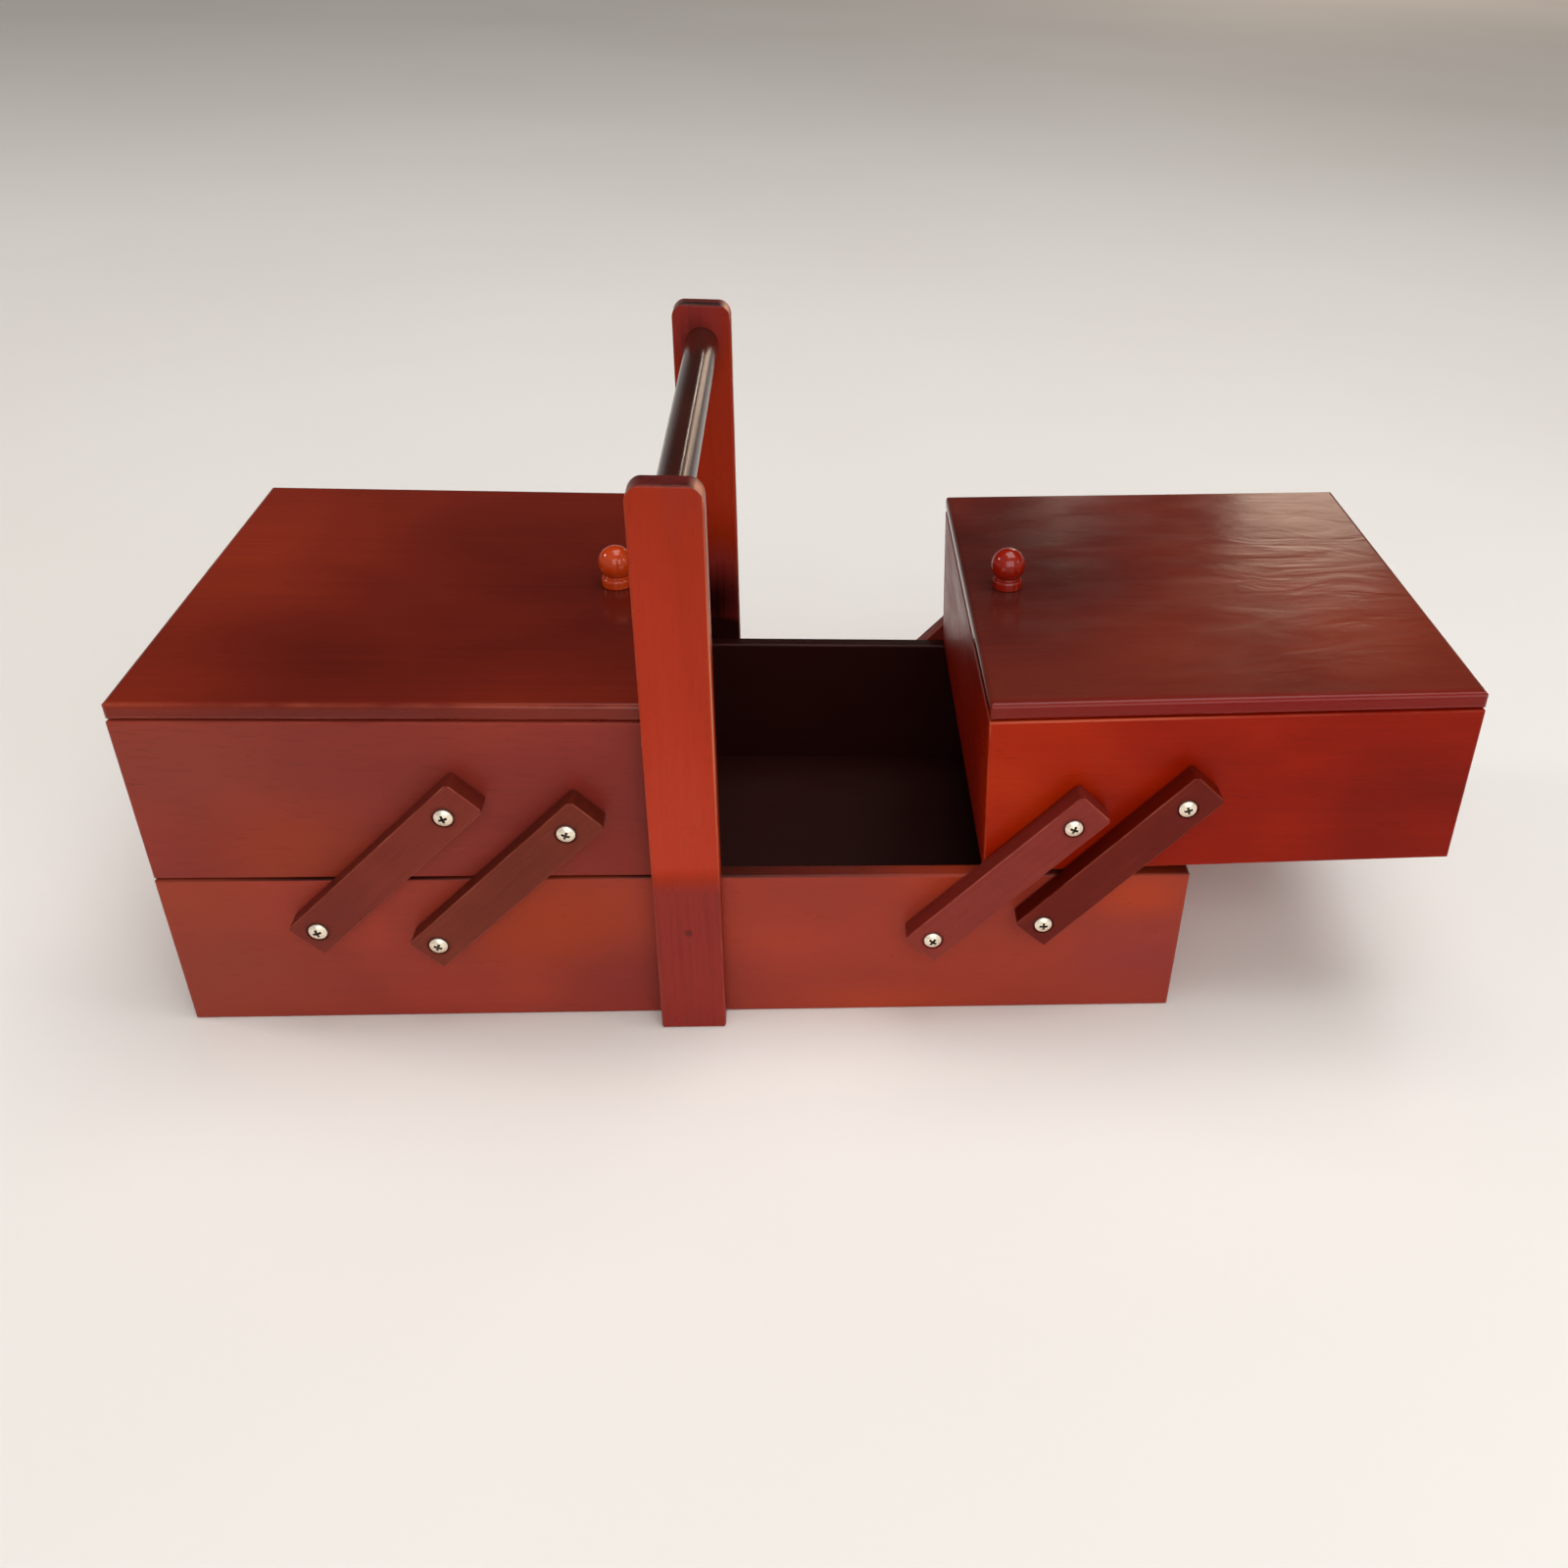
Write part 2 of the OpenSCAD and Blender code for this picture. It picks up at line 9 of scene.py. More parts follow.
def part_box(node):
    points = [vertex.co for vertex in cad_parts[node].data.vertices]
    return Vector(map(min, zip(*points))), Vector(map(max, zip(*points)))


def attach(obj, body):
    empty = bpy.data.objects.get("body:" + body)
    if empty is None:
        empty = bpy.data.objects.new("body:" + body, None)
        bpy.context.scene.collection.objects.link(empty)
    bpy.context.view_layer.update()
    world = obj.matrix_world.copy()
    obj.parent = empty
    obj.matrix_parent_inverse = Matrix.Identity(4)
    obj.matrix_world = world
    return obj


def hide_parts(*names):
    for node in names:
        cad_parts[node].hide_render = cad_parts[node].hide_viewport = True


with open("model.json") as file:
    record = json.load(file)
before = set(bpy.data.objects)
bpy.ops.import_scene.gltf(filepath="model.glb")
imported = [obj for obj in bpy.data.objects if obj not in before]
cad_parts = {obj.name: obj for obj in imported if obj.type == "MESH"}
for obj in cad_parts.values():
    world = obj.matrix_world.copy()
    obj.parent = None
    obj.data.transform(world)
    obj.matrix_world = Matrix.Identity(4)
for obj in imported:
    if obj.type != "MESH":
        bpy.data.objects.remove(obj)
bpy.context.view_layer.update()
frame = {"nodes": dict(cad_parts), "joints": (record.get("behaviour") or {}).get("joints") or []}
cad = frame["nodes"]
joints = {joint["name"]: Vector(joint["pos_m"]) for joint in frame["joints"]}
scene = bpy.context.scene
scene.view_settings.view_transform = "Standard"
print("frame loaded with", len(cad), "pieces")

# Camera, where the photograph was taken from

cameraSet = {
    "place": (0.04513, -0.55665, 0.41538),
    "turn": (-33.662, -3.283, -6.090),  # tilt, roll and heading in degrees, from a level view along +Y
    "lens": 33.27,
    "sensor": 36,
    "shift": (-0.0947, 0.0054),
    "clip": (0.01, 50),
}


def makeCamera(s):
    data = bpy.data.cameras.new("camera")
    data.sensor_width = s["sensor"]
    data.lens = s["lens"]
    data.shift_x, data.shift_y = s["shift"]
    data.clip_start, data.clip_end = s["clip"]
    tilt, roll, heading = (math.radians(a) for a in s["turn"])
    turn = Matrix.Rotation(heading, 4, "Z") @ Matrix.Rotation(tilt, 4, "X") @ Matrix.Rotation(roll, 4, "Y")
    camera = bpy.data.objects.new("camera", data)
    camera.matrix_world = Matrix.Translation(s["place"]) @ turn @ Matrix.Rotation(math.radians(90), 4, "X")
    scene.collection.objects.link(camera)
    scene.camera = camera


makeCamera(cameraSet)
print("camera placed")


def colour(code):  # linear colour of a six-digit hex code
    parts = [int(code[i:i + 2], 16) / 255 for i in (0, 2, 4)]
    return [p / 12.92 if p <= 0.04045 else ((p + 0.055) / 1.055) ** 2.4 for p in parts] + [1]


def addNode(tree, kind, values=None, **settings):
    node = tree.nodes.new("ShaderNode" + kind)
    for name, value in settings.items():
        setattr(node, name, value)
    for socket, value in (values or {}).items():
        if isinstance(value, bpy.types.NodeSocket):
            tree.links.new(value, node.inputs[socket])
        else:
            node.inputs[socket].default_value = value
    return node


def maths(tree, operation, a, b=0.0):
    return addNode(tree, "Math", {0: a, 1: b}, operation=operation).outputs[0]


def vectorMaths(tree, operation, a, b=(0, 0, 0)):
    return addNode(tree, "VectorMath", {0: a, 1: b}, operation=operation).outputs[0]


def added(tree, value, change, amount):  # the value plus so much of the change
    return maths(tree, "ADD", maths(tree, "MULTIPLY", change, amount), value)


def split(tree, vector):
    return addNode(tree, "SeparateXYZ", {"Vector": vector}).outputs


def spread(tree, value, low, high, toLow=0.0, toHigh=1.0, how="LINEAR"):  # low..high to toLow..toHigh
    values = {"Value": value, "From Min": low, "From Max": high, "To Min": toLow, "To Max": toHigh}
    return addNode(tree, "MapRange", values, interpolation_type=how).outputs["Result"]


def ramp(tree, value, stops):
    node = addNode(tree, "ValToRGB", {"Fac": value})
    bar = node.color_ramp
    while len(bar.elements) < len(stops):
        bar.elements.new(0.5)
    for element, (place, code) in zip(bar.elements, stops):
        element.position = place
        element.color = colour(code)
    return node.outputs["Color"]


def blendColours(tree, amount, a, b, how="MIX"):
    node = addNode(tree, "Mix", {0: amount, 6: a, 7: b}, data_type="RGBA", blend_type=how)
    return node.outputs[2]


def newMaterial(name):
    material = bpy.data.materials.new(name)
    material.use_nodes = True
    tree = material.node_tree
    tree.nodes.clear()
    shader = addNode(tree, "BsdfPrincipled")
    addNode(tree, "OutputMaterial", {"Surface": shader.outputs["BSDF"]})
    return material, tree, shader


orderWay = Vector((1, math.sqrt(2), math.pi))  # along it no two places of a piece fall together


def meshOf(bm, name):  # with its points, edges and faces in the same order each run
    bm.verts.sort(key=lambda vert: vert.co.dot(orderWay))
    bm.edges.sort(key=lambda edge: (edge.verts[0].co + edge.verts[1].co).dot(orderWay))
    bm.faces.sort(key=lambda face: face.calc_center_median().dot(orderWay))
    mesh = bpy.data.meshes.new(name)
    bm.to_mesh(mesh)
    bm.free()
    return mesh


# Floor, lamps and surroundings

noiseSpan = (0.3, 0.7)  # most values of a noise pattern lie between these

floorSet = {
    "size": 16,
    "colour": "F6F3EF",
    "cloud": ("F0ECE6", 1.2),  # colour and scale of faint clouds
    "roughness": 0.8,
    "specular": 0.2,
}

# Headings run clockwise from +Y, seen from above, and rises from the level, both in degrees at the aim.
lampSet = {
    "front": {  # broad and soft, over the height of the eye
        "aim": (0.05, 0, 0.08), "heading": 169, "rise": 31.6, "distance": 1.85,
        "size": (1.7, 1.2), "power": 14,
    },
    "above": {
        "aim": (0.05, 0, 0.1), "heading": 63, "rise": 78, "distance": 2.15,
        "size": (1.6, 1.6), "power": 26,
    },
    "left": {  # small, like the next one, and shows as a highlight on round pieces
        "aim": (0, 0, 0.15), "heading": -80, "rise": 33, "distance": 3,
        "size": (0.6, 0.30), "power": 12, "tint": "FFF6EC",
    },
    "right": {
        "aim": (0, 0, 0.15), "heading": 107, "rise": 26, "distance": 3,
        "size": (0.3, 0.25), "power": 4, "tint": "FFF0E4",
    },
    "window": {  # far and warm, mirrored by the right lid
        "aim": (0.27, 0.05, 0.15), "heading": 19.5, "rise": 17.7, "distance": 7,
        "size": (0.75, 1.40), "power": 13, "tint": "FFE6CC",
    },
    "band": {  # fainter, over the window
        "aim": (0.27, 0.05, 0.15), "heading": 20.5, "rise": 25.0, "distance": 7,
        "size": (0.95, 0.40), "power": 0.6, "tint": "FFDCB8",
    },
    "door": {  # lower, and shows along the bar
        "aim": (0, 0, 0.2), "heading": 16.9, "rise": 6.7, "distance": 7.3,
        "size": (1.1, 1.5), "power": 12, "tint": "FFDFC2",
    },
    "slit": {  # narrow, and shows as a bright line beside the door's
        "aim": (0, 0, 0.2), "heading": 10.9, "rise": 16.4, "distance": 7.4,
        "size": (0.2, 0.6), "power": 5, "tint": "FFF0DE",
    },
}

skySet = {
    "front": "C4C2C0",
    # grey of the back of the studio, from the horizon up to overhead
    "back": [(0.0, "C6C4C0"), (0.1, "9A9896"), (0.25, "434241"), (0.7, "434241"), (1.0, "8A8886")],
    "turnover": (-0.35, 0.35),
    "strength": 0.8,
}


def makeFloor(s):
    bm = bmesh.new()
    bmesh.ops.create_grid(bm, x_segments=1, y_segments=1, size=s["size"] / 2)
    mesh = meshOf(bm, "floor")
    floor = bpy.data.objects.new("floor", mesh)
    scene.collection.objects.link(floor)
    material, tree, shader = newMaterial("floorPaint")
    where = addNode(tree, "TexCoord").outputs["Object"]
    cloud, scale = s["cloud"]
    cloudy = addNode(tree, "TexNoise", {"Vector": where, "Scale": scale, "Detail": 4.0}).outputs["Fac"]
    tone = blendColours(tree, spread(tree, cloudy, *noiseSpan), colour(s["colour"]), colour(cloud))
    tree.links.new(tone, shader.inputs["Base Color"])
    shader.inputs["Roughness"].default_value = s["roughness"]
    shader.inputs["Specular IOR Level"].default_value = s["specular"]
    mesh.materials.append(material)


def makeLamp(name, s):
    data = bpy.data.lights.new(name, "AREA")
    data.shape = "RECTANGLE"
    data.size, data.size_y = s["size"]
    data.energy = s["power"]
    data.color = colour(s.get("tint", "FFFFFF"))[:3]
    heading, rise = math.radians(s["heading"]), math.radians(s["rise"])
    level = math.cos(rise)
    away = Vector((math.sin(heading) * level, math.cos(heading) * level, math.sin(rise)))
    lamp = bpy.data.objects.new(name, data)
    lamp.location = Vector(s["aim"]) + away * s["distance"]
    lamp.rotation_euler = (-away).to_track_quat("-Z", "Y").to_euler()
    lamp.visible_camera = False
    scene.collection.objects.link(lamp)


def makeSky(s):
    world = bpy.data.worlds.new("studio")
    scene.world = world
    world.use_nodes = True
    tree = world.node_tree
    tree.nodes.clear()
    direction = addNode(tree, "TexCoord").outputs["Generated"]
    parts = split(tree, direction)
    back = ramp(tree, parts["Z"], s["back"])
    tone = blendColours(tree, spread(tree, parts["Y"], *s["turnover"]), colour(s["front"]), back)
    light = addNode(tree, "Background", {"Color": tone, "Strength": s["strength"]})
    addNode(tree, "OutputWorld", {"Surface": light.outputs["Background"]})


makeFloor(floorSet)
for name, s in lampSet.items():
    makeLamp(name, s)
makeSky(skySet)
print("studio ready")

# Stained and lacquered wood. Lengths are in metres, and the scales of patterns are per metre,
# along the grain first and then across it.

woodSet = {
    "turn": (0, 0, 0),  # degrees that turn the grain from +X
    "tone": 0.5,  # 0 is the darkest stain of the ramp below and 1 the lightest
    "stain": [(0.0, "601F19"), (0.4, "8A3228"), (0.65, "A23A29"), (1.0, "BE4B26")],
    "cloud": (13.0, 0.30),  # scale and depth of the sprayed stain's clouds
    "figure": ((3.0, 26.0), 0.12),
    "fibre": ((14.0, 520.0), 0.14),
    "pores": (90.0, 1700.0),
    "poreSpan": (0.60, 0.72),  # values of their noise between which pores begin
    "poreShade": "2A0C0A",
    "poreDepth": 0.22,  # how much of that shade the pores take
    "streaks": 0.06,  # how much of it the fibres take
    "spots": [],  # centre, reach and how much lighter, or darker below 0
    "patches": [],  # centre, reach, strength and colour of stain laid on unevenly
    "fades": [],  # axis, where the change begins and ends, and its amount
    "flanks": 0.0,  # change on faces that don't look towards the front or the rear
    "tops": 0.0,  # change on faces that look up
    "facing": (0.3, 0.7),  # share of the normal that looks that way, where the change begins and is full
    "seed": (0, 0, 0),
    "inside": None,  # the compartment, painted nearly black: painted shade over a darker stain
    "insideShadeAndStain": ("280804", 0.98),
    "insideSkin": (-0.0006, -0.0001),  # how deep in the boards' faces the painted shade and dark stain begin and are full
    "insideRoughness": 0.25,  # added there
    "edge": ("B8583A", 0.25),  # stain rubbed thin on the rounded edges, with a painted highlight along them
    "corners": True,  # whether that also holds for edges that run from the front to the rear
    "edgeSpan": (0.985, 0.80),  # greatest part of the normal, where the rubbed stain and painted highlight begin and where they are full
    "wear": 55.0,  # scale of the unevenness of the rubbed stain and painted highlight
    "wearSpan": (0.35, 0.65),
    "rubsAndHighlights": [],  # centre, reach and amount of edges more rubbed, with more painted highlight
    "roughness": (0.26, 0.40),
    "sheen": (35.0, 90.0),  # scales of the roughness's unevenness
    "specular": 0.15,
    "peel": (260.0, 0.000012),  # scale and height of uneven lacquer
    "relief": 0.00004,  # height of the fibres
    "poreRelief": 0.8,  # depth of the pores against that height
    "ripple": None,  # scales, height and centre with reach of raised grain
}


def insideMask(tree, where, room, skin):  # 1 within the room and 0 outside
    local = vectorMaths(tree, "SUBTRACT", where, room["pivot"])
    level = addNode(tree, "Mapping", {"Vector": local, "Rotation": (0, room["tilt"], 0)}).outputs[0]
    above = split(tree, vectorMaths(tree, "SUBTRACT", level, room["low"]))
    below = split(tree, vectorMaths(tree, "SUBTRACT", room["high"], level))
    least = above["X"]
    for part in (above["Y"], above["Z"], below["X"], below["Y"], below["Z"]):
        least = maths(tree, "MINIMUM", least, part)
    return spread(tree, least, *skin)


def glow(tree, where, centre, reach):  # 1 at the centre, fading softly to 0 at its reach
    offset = vectorMaths(tree, "DIVIDE", vectorMaths(tree, "SUBTRACT", where, centre), reach)
    ball = addNode(tree, "TexGradient", {"Vector": offset}, gradient_type="SPHERICAL").outputs["Fac"]
    return spread(tree, ball, 0.0, 1.0, how="SMOOTHSTEP")


def edgeMask(tree, normal, corners, span):  # 1 where a rounded edge turns away from the piece's flat faces
    parts = split(tree, vectorMaths(tree, "ABSOLUTE", normal))
    if corners:
        sides = maths(tree, "MAXIMUM", parts["X"], parts["Z"])
    else:
        flat = addNode(tree, "CombineXYZ", {"X": parts["X"], "Z": parts["Z"]}).outputs[0]
        sides = addNode(tree, "VectorMath", {0: flat}, operation="LENGTH").outputs["Value"]
    return spread(tree, maths(tree, "MAXIMUM", sides, parts["Y"]), *span)


def stainTone(tree, s, where, facing, noise, fibre):  # how light the stain is at each place
    low, high = s["facing"]
    patterns = [(noise(s["cloud"][0], detail=2.0, distortion=0.6), s["cloud"][1]),
                (noise(s["figure"][0], detail=3.0, distortion=1.2), s["figure"][1]),
                (fibre, s["fibre"][1])]
    tone = s["tone"]
    for value, depth in patterns:
        tone = added(tree, tone, maths(tree, "SUBTRACT", value, 0.5), 2 * depth)
    for centre, reach, amount in s["spots"]:
        tone = added(tree, tone, glow(tree, where, centre, reach), amount)
    parts = split(tree, where)
    for axis, start, end, amount in s["fades"]:
        tone = maths(tree, "ADD", spread(tree, parts[axis], start, end, 0.0, amount), tone)
    if s["flanks"]:
        front = maths(tree, "ABSOLUTE", facing["Y"])
        tone = maths(tree, "ADD", spread(tree, front, high, low, 0.0, s["flanks"]), tone)
    if s["tops"]:
        tone = maths(tree, "ADD", spread(tree, facing["Z"], low, high, 0.0, s["tops"]), tone)
    return tone


def edgeWearAndHighlight(tree, s, where, normal, noise):  # how far the stain is rubbed off the edges, with a painted highlight there
    wornAndLit = maths(tree, "MULTIPLY", spread(tree, noise(s["wear"], detail=5.0), *s["wearSpan"]), s["edge"][1])
    for centre, reach, amount in s["rubsAndHighlights"]:
        wornAndLit = added(tree, wornAndLit, glow(tree, where, centre, reach), amount)
    edges = edgeMask(tree, normal, s["corners"], s["edgeSpan"])
    return maths(tree, "MINIMUM", maths(tree, "MULTIPLY", wornAndLit, edges), 1.0)


def relief(tree, s, where, noise, fibre, pores):  # normal of the uneven lacquer over the grain
    grain = maths(tree, "SUBTRACT", fibre, maths(tree, "MULTIPLY", pores, s["poreRelief"]))
    heights = [(noise(s["peel"][0], detail=1.0), s["peel"][1]), (grain, s["relief"])]
    if s["ripple"]:
        scale, height, centre, reach = s["ripple"]
        waves = noise(scale, detail=2.0, distortion=1.6)
        heights.append((maths(tree, "MULTIPLY", waves, glow(tree, where, centre, reach)), height))
    bump = None
    for value, height in heights:
        values = {"Height": value, "Distance": height, "Strength": 1.0}
        if bump:
            values["Normal"] = bump
        bump = addNode(tree, "Bump", values).outputs[0]
    return bump


def stainedWood(name, changes):
    s = {**woodSet, **changes}
    material, tree, shader = newMaterial(name)
    coords = addNode(tree, "TexCoord").outputs
    where = coords["Object"]
    turn = [math.radians(a) for a in s["turn"]]
    grain = addNode(tree, "Mapping", {"Vector": where, "Location": s["seed"], "Rotation": turn}).outputs[0]
    normal = addNode(tree, "Mapping", {"Vector": coords["Normal"], "Rotation": turn},
                     vector_type="VECTOR").outputs[0]

    def noise(scale, detail, distortion=0.0, roughness=0.55):
        along, across = scale if isinstance(scale, tuple) else (scale, scale)
        stretched = vectorMaths(tree, "MULTIPLY", grain, (along, across, across))
        values = {"Vector": stretched, "Scale": 1.0, "Detail": detail, "Distortion": distortion,
                  "Roughness": roughness}
        return addNode(tree, "TexNoise", values).outputs["Fac"]

    fibre = noise(s["fibre"][0], detail=3.0, roughness=0.6)
    pores = spread(tree, noise(s["pores"], detail=2.0), *s["poreSpan"])
    tone = stainTone(tree, s, where, split(tree, coords["Normal"]), noise, fibre)
    shade = ramp(tree, tone, s["stain"])
    for centre, reach, strength, code in s["patches"]:
        laid = maths(tree, "MULTIPLY", glow(tree, where, centre, reach), strength)
        shade = blendColours(tree, laid, shade, colour(code))
    streaks = spread(tree, fibre, *noiseSpan, 0.0, s["streaks"])
    for amount in (streaks, maths(tree, "MULTIPLY", pores, s["poreDepth"])):
        shade = blendColours(tree, amount, shade, colour(s["poreShade"]))
    # edges lightened by rubbed stain and a painted highlight
    shade = blendColours(tree, edgeWearAndHighlight(tree, s, where, normal, noise), shade, colour(s["edge"][0]))
    gloss = spread(tree, noise(s["sheen"], detail=4.0), *noiseSpan, *s["roughness"])
    # the compartment is painted nearly black, as painted shade over a darker stain
    if s["inside"]:
        shadedRoom = insideMask(tree, where, s["inside"], s["insideSkin"])
        dark, depth = s["insideShadeAndStain"]
        shade = blendColours(tree, maths(tree, "MULTIPLY", shadedRoom, depth), shade, colour(dark))
        gloss = added(tree, gloss, shadedRoom, s["insideRoughness"])
    tree.links.new(shade, shader.inputs["Base Color"])
    tree.links.new(gloss, shader.inputs["Roughness"])
    tree.links.new(relief(tree, s, where, noise, fibre, pores), shader.inputs["Normal"])
    shader.inputs["Specular IOR Level"].default_value = s["specular"]
    return material


def finish(material, *names):  # a frame piece keeps its mesh and takes this material
    for name in names:
        mesh = cad[name].data
        mesh.materials.clear()
        mesh.materials.append(material)


alongY = (0, 0, 90)
caseSet = {
    "board": 0.0075,
    "panel": 0.004,
    "easing": 0.0008,  # the rims' rounded inner edges keep the outer stain, free of the compartment's painted shade
}


def compartment(case, pivot, s):  # the space between a level case's boards, measured from the pivot
    front, rear, left, right, bottom = (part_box(name) for name in case)
    low = Vector((left[0].x + s["board"], front[0].y + s["board"], bottom[0].z + s["panel"]))
    high = Vector((right[1].x - s["board"], rear[1].y - s["board"], front[1].z - s["easing"]))
    return {"low": low - pivot, "high": high - pivot, "pivot": pivot, "tilt": 0}


def turnedOver(room, pivot, tilt):  # the same space in the other tray, whose ends lie the other way round
    low, high = room["low"], room["high"]
    return {"low": (-high.x, low.y, low.z), "high": (-low.x, high.y, high.z), "pivot": pivot, "tilt": tilt}


def slope(side):  # how steeply a tray rises towards its outer end
    way = joints[side + "_lid_hinge"] - joints[side + "_tray_turn"]
    return math.atan2(way.z, abs(way.x))


tilt = slope("right") - slope("left")
baseRoom = compartment(("base_front_board", "base_rear_board", "base_left_end", "base_right_end",
                        "base_bottom_panel"), Vector((0, 0, 0)), caseSet)
leftRoom = compartment(("left_tray_front_board", "left_tray_rear_board", "left_tray_outer_end",
                        "left_tray_inner_end", "left_tray_bottom_panel"), joints["left_tray_turn"], caseSet)
rightRoom = turnedOver(leftRoom, joints["right_tray_turn"], tilt)

baseSet = {
    "tone": 0.52,
    "tops": -0.70,
    "stain": [(0.0, "260A06"), (0.1, "561B15"), (0.4, "8A3228"), (0.65, "A23A29"), (1.0, "BE4B26")],
    "patches": [
        ((-0.185, -0.1, 0.020), (0.065, 0.05, 0.050), 0.7, "8E3B28"),
        ((-0.195, -0.1, 0.065), (0.060, 0.05, 0.035), 0.6, "9E4026"),
        ((-0.053, -0.1, 0.048), (0.062, 0.05, 0.044), 0.9, "A03818"),
        ((-0.020, -0.1, 0.016), (0.050, 0.05, 0.036), 0.8, "842C26"),
        ((0.100, -0.1, 0.030), (0.140, 0.05, 0.080), 0.8, "9C3726"),
        ((0.180, -0.1, 0.060), (0.040, 0.05, 0.020), 0.8, "B03C1A"),
        ((0.105, -0.1, 0.066), (0.045, 0.05, 0.014), 0.6, "AC3A1C"),
        ((0.080, -0.1, 0.004), (0.060, 0.05, 0.014), 0.7, "AE4024"),
        ((0.185, -0.1, 0.026), (0.040, 0.05, 0.022), 0.7, "8C3230"),
    ],
    "inside": baseRoom,
    "edge": ("8E3424", 0.2),
    "seed": (3.1, 0.2, 0.4),
    "spots": [
        ((-0.115, -0.1, 0.022), (0.055, 0.05, 0.036), -0.10),
    ],
}
finish(stainedWood("baseWood", baseSet), "base_front_board", "base_rear_board", "base_bottom_panel")
finish(stainedWood("baseEndWood", {**baseSet, "turn": alongY}), "base_left_end", "base_right_end")

leftTraySet = {
    "tone": 0.42,
    "inside": leftRoom,
    "seed": (7.3, 1.1, 0.7),
    "patches": [
        ((-0.180, -0.1, 0.122), (0.080, 0.05, 0.044), 0.8, "85382B"),
        ((-0.110, -0.1, 0.125), (0.070, 0.05, 0.040), 0.7, "7C2C22"),
        ((-0.146, -0.1, 0.083), (0.050, 0.05, 0.036), 0.9, "94351C"),
        ((-0.030, -0.1, 0.113), (0.070, 0.05, 0.050), 0.7, "7E2921"),
        ((-0.020, -0.1, 0.080), (0.060, 0.05, 0.024), 0.6, "842A1E"),
    ],
}
rightTraySet = {
    "tone": 0.52,
    "stain": [(0.0, "5A0D00"), (0.4, "841300"), (0.65, "981B01"), (1.0, "B42E04")],
    "specular": 0.1,
    "inside": rightRoom,
    "seed": (4.3, 1.1, 0.7),
    "spots": [
        ((0.125, -0.1, 0.125), (0.080, 0.05, 0.080), 0.22),
        ((0.300, -0.1, 0.100), (0.110, 0.05, 0.100), -0.10),
    ],
    "edge": ("C4583C", 0.25),
    # a light line along the top front edge: rubbed stain with a painted highlight
    "rubsAndHighlights": [((0.150, -0.1, 0.140), (0.095, 0.006, 0.011), 1.0)],
}
leftLidSet = {
    "tone": 0.44,
    "stain": [(0.0, "4B120C"), (0.4, "6C1E11"), (0.7, "862A17"), (1.0, "A63C1A")],
    "cloud": (10.0, 0.22),
    "figure": ((3.0, 26.0), 0.08),
    "seed": (5.0, 2.0, 0),
    "spots": [
        ((-0.190, 0.035, 0.147), (0.090, 0.130, 0.05), 0.28),
        ((-0.045, -0.010, 0.147), (0.075, 0.090, 0.05), -0.24),
        ((-0.110, -0.070, 0.147), (0.100, 0.060, 0.05), -0.16),
        ((-0.100, 0.030, 0.147), (0.085, 0.110, 0.05), -0.20),
        ((-0.190, -0.085, 0.147), (0.060, 0.050, 0.05), 0.14),
    ],
    "specular": 0.22,
    "roughness": (0.10, 0.18),
    "relief": 0.000003,
}
rightLidSet = {
    "tone": 0.66,
    "patches": [((0.210, -0.1, 0.150), (0.300, 0.007, 0.040), 0.95, "790300")],
    "edge": ("B8583A", 0.05),
    "flanks": -0.10,
    "stain": [(0.0, "38110E"), (0.4, "5C2019"), (0.7, "762C1D"), (1.0, "8E3420")],
    "cloud": (11.0, 0.22),
    "figure": ((3.0, 26.0), 0.08),
    "seed": (9.0, 2.0, 0),
    "spots": [
        ((0.138, 0.020, 0.148), (0.085, 0.130, 0.05), -0.36),
        ((0.190, -0.060, 0.150), (0.080, 0.080, 0.05), 0.10),
        ((0.285, -0.030, 0.152), (0.070, 0.110, 0.05), 0.18),
    ],
    "specular": 0.22,
    "roughness": (0.11, 0.20),
    "relief": 0.000003,
    "ripple": ((20.0, 50.0), 0.00022, (0.275, -0.010, 0.152), (0.120, 0.170, 0.06)),
}
postSet = {
    "tone": 0.60,
    "turn": (0, 90, 0),
    "stain": [(0.0, "260706"), (0.35, "8B2922"), (0.65, "9C2808"), (0.85, "AC2E12"), (1.0, "B4361D")],
    "cloud": (12.0, 0.12),
    "tops": -0.50,
    "edge": ("C8805C", 0.15),
    # light lines on the front post's right edge and the posts' top corners: rubbed stain with painted
    # highlights
    "rubsAndHighlights": [
        ((0.0135, -0.110, 0.160), (0.004, 0.005, 0.095), 1.0),
        ((0.0125, -0.106, 0.232), (0.005, 0.008, 0.007), 1.2),
        ((0.0125, 0.104, 0.232), (0.005, 0.008, 0.007), 1.2),
    ],
    "fades": [("Z", 0.235, 0.150, 0.22), ("Z", 0.150, 0.085, 0.16), ("Z", 0.082, 0.070, -0.62),
              ("Y", 0.0, 0.05, 0.06)],
    "spots": [
        # painted shade round the handle bar's socket on the rear post
        ((-0.002, 0.100, 0.217), (0.018, 0.006, 0.020), -0.50),
        ((0.0, 0.100, 0.238), (0.040, 0.006, 0.028), -0.30),
        # painted shadow over a darker stain on the rear post's lower face, between the trays
        ((0.0, 0.100, 0.088), (0.060, 0.006, 0.058), -1.00),
    ],
}
barSet = {
    "tone": 0.4,
    "turn": alongY,
    "stain": [(0.0, "200A06"), (0.5, "3A150C"), (1.0, "542010")],
    "cloud": (18.0, 0.30),
    "specular": 0.27,
    "roughness": (0.15, 0.21),
    "peel": (120.0, 0.000006),
    "relief": 0.00001,
    "edge": ("5A231D", 0.0),
}

